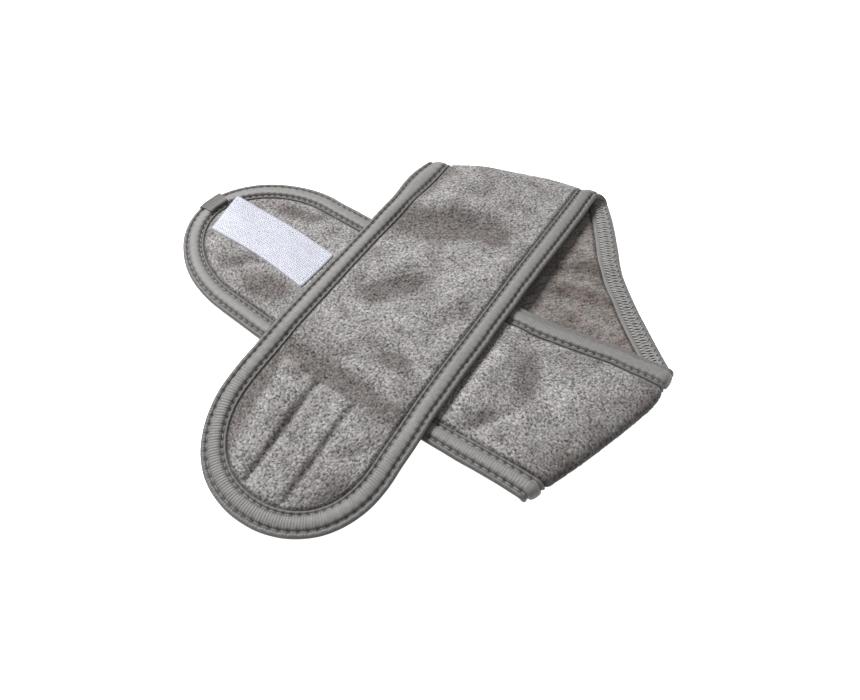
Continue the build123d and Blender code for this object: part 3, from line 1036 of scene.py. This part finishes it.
def towelling(name, dark, light, cool, warm, fibre):
    """Pile: painted shade between the tufts and painted light on their tips, faint warm and cool
    patches, and painted shade in dents and along the right fold.
    """
    shader = Shader(name, roughness=0.95, sheen=0.35, sheen_roughness=0.45, specular=0.15)
    flat = shader.attribute("flat", "Vector")
    height_shade = shader.attribute("height_shade", "Fac")
    speck = shader.noise(flat, fibre, 3.0, 0.7)
    # painted shade between the tufts and painted light on their tips, mixed with a random speck
    body = shader.ramp(shader.weigh(height_shade, 0.45, speck, 0.8), (0.45, dark), (0.84, light))
    patches = shader.ramp(shader.noise(flat, 110.0, 1.0), (0.38, cool), (0.62, warm))
    # painted shade in dents and along the right fold, painted light on ridges, and random streaks
    shade_and_streaks_tint = shader.ramp(shader.attribute("shade_and_streaks", "Fac"), (0, (1, 1, 1)), (1, SHADE_AND_STREAK_TONE))
    shader.colour(shader.tint(shader.tint(body, patches), shade_and_streaks_tint))
    shader.bump(shader.noise(flat, fibre * 1.3, 2.0), 0.00016, 0.8)
    return shader.material


def satin_binding(name, dark, light):
    """Satin tape drawn into fine cross ribs, with painted light where it stands proud, painted shade
    where it lies low, and a random mottle.
    """
    shader = Shader(name, roughness=0.5, sheen=0.12, specular=0.35)
    flat = shader.attribute("flat", "Vector")
    height_shade = shader.attribute("height_shade", "Fac")
    wave = shader.node("ShaderNodeTexWave", Vector=flat, Scale=2 * pi / (20 * 0.00045), Distortion=0.6)
    # painted light on the raised parts, mixed with a random mottle
    raised_light_and_mottle = shader.weigh(height_shade, 0.55, shader.noise(flat, 500.0, 2.0), 0.4)
    shader.colour(shader.ramp(raised_light_and_mottle, (0.2, dark), (0.85, light)))
    shader.bump(wave.outputs["Fac"], 0.00006, 0.7)
    return shader.material


def spun_thread(name, dark, light):
    """Polyester thread with its twist."""
    shader = Shader(name, roughness=0.45)
    flat = shader.attribute("flat", "Vector")
    wave = shader.node("ShaderNodeTexWave", Vector=flat, Scale=2.4)
    wave.bands_direction = "DIAGONAL"
    shader.colour(shader.ramp(wave.outputs["Fac"], (0.1, dark), (0.9, light)))
    shader.bump(wave.outputs["Fac"], 0.00005, 0.8)
    return shader.material


def woven_tape(name, dark, light, roughness):
    """Nylon tape: fine weave with a faint mottle."""
    shader = Shader(name, roughness=roughness, sheen=0.15)
    flat = shader.attribute("flat", "Vector")
    weave = shader.node("ShaderNodeTexChecker", Vector=flat, Scale=2200.0)
    shader.colour(shader.ramp(shader.noise(flat, 260.0, 3.0), (0.3, dark), (0.7, light)))
    shader.bump(weave.outputs["Fac"], 0.00005, 0.4)
    return shader.material


# ---- putting it together ----

face_pile_look = towelling("towelling_face", (0.064, 0.063, 0.062), (0.434, 0.421, 0.419),
                           (0.97, 0.98, 0.98), (1, 0.975, 0.972), 1000)
back_pile_look = towelling("towelling_back", (0.035, 0.031, 0.029), (0.29, 0.27, 0.26),
                           (0.97, 0.97, 0.95), (1, 0.94, 0.92), 1100)
binding_look = satin_binding("binding_satin", (0.047, 0.045, 0.043), (0.18, 0.172, 0.166))
cuff_look = satin_binding("cuff_knit", (0.022, 0.021, 0.02), (0.115, 0.11, 0.104))
thread_look = spun_thread("binding_thread", (0.12, 0.117, 0.112), (0.36, 0.35, 0.34))
looper_look = spun_thread("looper_thread", (0.18, 0.175, 0.168), (0.4, 0.39, 0.378))
tape_thread_look = spun_thread("white_tape_thread", (0.6, 0.6, 0.63), (0.85, 0.85, 0.88))
grey_seam_look = spun_thread("grey_tape_thread", (0.12, 0.115, 0.11), (0.3, 0.29, 0.28))
hook_tape_look = woven_tape("hook_tape_nylon", (0.34, 0.35, 0.405), (0.4, 0.41, 0.47), 0.4)
loop_tape_look = woven_tape("loop_tape_nylon", (0.36, 0.36, 0.36), (0.5, 0.5, 0.5), 0.8)


def dress(piece, slot_name, nodes, follow, *looks):
    """Materials, the CAD parts it stands for, and the motion it follows; slot_name is not used."""
    for look in looks:
        piece.data.materials.append(look)
    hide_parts(*nodes)
    follow(piece)


def bend_with(piece):
    """Bakes the piece's placement into its mesh."""
    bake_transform(piece)


def follow_front(piece):
    bend_with(piece)


def follow_top_fold(piece):
    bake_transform(piece)


def follow_middle(piece):
    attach(piece, "root")


def follow_lower(piece):
    bend_with(piece)


def loop_tail_ribs(s):
    return 0.45 + 0.55 * smooth((s - 0.11) / 0.03) * smooth((front_border[0] - 0.15 - s) / 0.05)


loop_tail = (LOOP_TAIL_ROUND, -1, LOOP_ROUNDING, LOOP_SQUARENESS)
hook_tail = (HOOK_TAIL_ROUND, 1, HOOK_ROUNDING, HOOK_SQUARENESS)
front_border = tail_border(front_line, *loop_tail)
lower_border = tail_border(right_fold_line, *hook_tail)


def both_sides(line_a, line_b):
    return {"_left": side_border(line_a, line_b, 1), "_right": side_border(line_a, line_b, -1)}


# each stretch: where it starts and stops, its length, its bound edges, how ribbed their binding is,
# what it follows, and which CAD parts it stands for
stretches = {
    "front": (front_line, tail_stop(*loop_tail), FRONT_LENGTH, {"": front_border}, loop_tail_ribs,
              follow_front, ("front_run", "loop_tail")),
    "top_fold": (front_line, middle_line, TOP_ROLL, both_sides(front_line, middle_line),
                 lambda s: 0.45, follow_top_fold, ("top_fold",)),
    "middle": (middle_line, right_fold_line, MIDDLE_LENGTH, both_sides(middle_line, right_fold_line),
               lambda s: 0.5, follow_middle, ("middle_run",)),
    "lower": (right_fold_line, tail_stop(*hook_tail), LOWER_LENGTH + RIGHT_ROLL, {"": lower_border},
              lambda s: 0.4, follow_lower, ("right_fold", "lower_run", "hook_tail")),
}


def nodes_named(starts, word):
    return [node for node in sorted(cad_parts) if node.startswith(starts) and word in node]


for stretch, (start, stop, longest, borders, ribs, follow, names) in stretches.items():
    cloth = make_cloth(f"{stretch}_towelling", start, stop, longest)
    dress(cloth, "towelling", nodes_named(names, "cloth"), follow, face_pile_look, back_pile_look)
    needle_look = looper_look if stretch == "lower" else thread_look
    reverse_look = thread_look if stretch == "top_fold" else looper_look
    for word, border in borders.items():
        band = make_binding(f"{stretch}_binding{word}", border, ribs)
        dress(band, "binding", nodes_named(names, f"binding{word}"), follow, binding_look)
        needles = make_needle_threads(f"{stretch}_needle_threads{word}", border)
        dress(needles, "thread", nodes_named(names, "needle"), follow, needle_look)
        looper = make_looper_threads(f"{stretch}_looper_threads{word}", border)
        dress(looper, "thread", nodes_named(names, "looper"), follow, reverse_look)

# hook tape, its hooks and seam
hook_place = (LOWER_START + HOOK_TAPE[0], LOWER_START + HOOK_TAPE[1], HOOK_TAPE[2])
hook_tape = make_tape("hook_tape_ground", *hook_place, FACE - 0.0006, HOOK_GROUND_TOP, hook_ground,
                      hook_tape_lie)
dress(hook_tape, "hook_tape", ["hook_tape"], follow_lower, hook_tape_look)
hooks = make_hooks("hook_tape_hooks", *hook_place, HOOK_GROUND_TOP)
dress(hooks, "hook_tape", ["hook_tape"], follow_lower, hook_tape_look)
hook_seam = make_seam("hook_tape_seam", seam_path(*HOOK_TAPE, 1, LOWER_START),
                      lambda x, t: HOOK_TAPE_TOP - HOOK_SEAM_SINK, 0.00014, hook_tape_lie)
dress(hook_seam, "tape_thread", ["hook_tape_stitching"], follow_lower, tape_thread_look)

# the cuff over the binding's join
lower_length, lower_path = lower_border
cuff_centre = lower_length - abs(HOOK_TAIL_ROUND - right_fold_line(-HALF)) - CUFF_PLACE
join_tab = make_join_tab("binding_join_cuff", lower_path, cuff_centre)
dress(join_tab, "binding", ["binding_join_tab"], follow_lower, cuff_look)

# loop tape and its seam
loop_tape = make_tape("loop_tape_nap", -LOOP_TAPE[1], -LOOP_TAPE[0], LOOP_TAPE[2], TAPE_SINK - FACE,
                      0.0001 - FACE, loop_nap)
dress(loop_tape, "loop_tape", ["loop_tape"], follow_front, loop_tape_look)


def channel_floor(x, t):
    return FACE - PILE_RELIEF - tape_channels(x, t)


loop_seam = make_seam("loop_tape_seam", seam_path(*LOOP_TAPE, -1, 0.0), channel_floor, 0.00018)
dress(loop_seam, "tape_thread", ["loop_tape_stitching"], follow_front, grey_seam_look)


# ---- setting the stage ----

def make_floor():
    mesh = bpy.data.meshes.new("floor")
    r = FLOOR_REACH
    mesh.from_pydata([(-r, -r, 0), (r, -r, 0), (r, r, 0), (-r, r, 0)], [], [(0, 1, 2, 3)])
    floor = add_object("floor", mesh)
    shader = Shader("pale_floor", roughness=0.9, specular=0.1)
    shader.surface.inputs["Base Color"].default_value = (0.93, 0.93, 0.93, 1)
    shader.surface.inputs["Emission Color"].default_value = (1, 1, 1, 1)
    shader.surface.inputs["Emission Strength"].default_value = FLOOR_GLOW
    mesh.materials.append(shader.material)
    floor.visible_diffuse = False


def aim(thing, place_at, target):
    thing.location = place_at
    heading = Vector(target) - Vector(place_at)
    thing.rotation_euler = heading.to_track_quat("-Z", "Y").to_euler()


def make_key_light():
    data = bpy.data.lights.new("key", "AREA")
    data.size = KEY_SIZE
    data.energy = KEY_POWER
    aim(add_object("key", data), KEY_PLACE, (0, 0, 0))


def make_world():
    world = bpy.data.worlds.new("studio")
    world.use_nodes = True
    background = world.node_tree.nodes["Background"]
    background.inputs["Color"].default_value = (1, 1, 1, 1)
    background.inputs["Strength"].default_value = SKY
    bpy.context.scene.world = world


def make_camera():
    data = bpy.data.cameras.new("camera")
    data.lens = LENS
    data.sensor_width = SENSOR
    data.clip_start = 0.01
    camera = add_object("camera", data)
    aim(camera, CAMERA_PLACE, CAMERA_TARGET)
    camera.rotation_euler.rotate_axis("Z", radians(CAMERA_ROLL))
    bpy.context.scene.camera = camera


make_floor()
make_key_light()
make_world()
make_camera()
bpy.context.scene.view_settings.view_transform = "Standard"
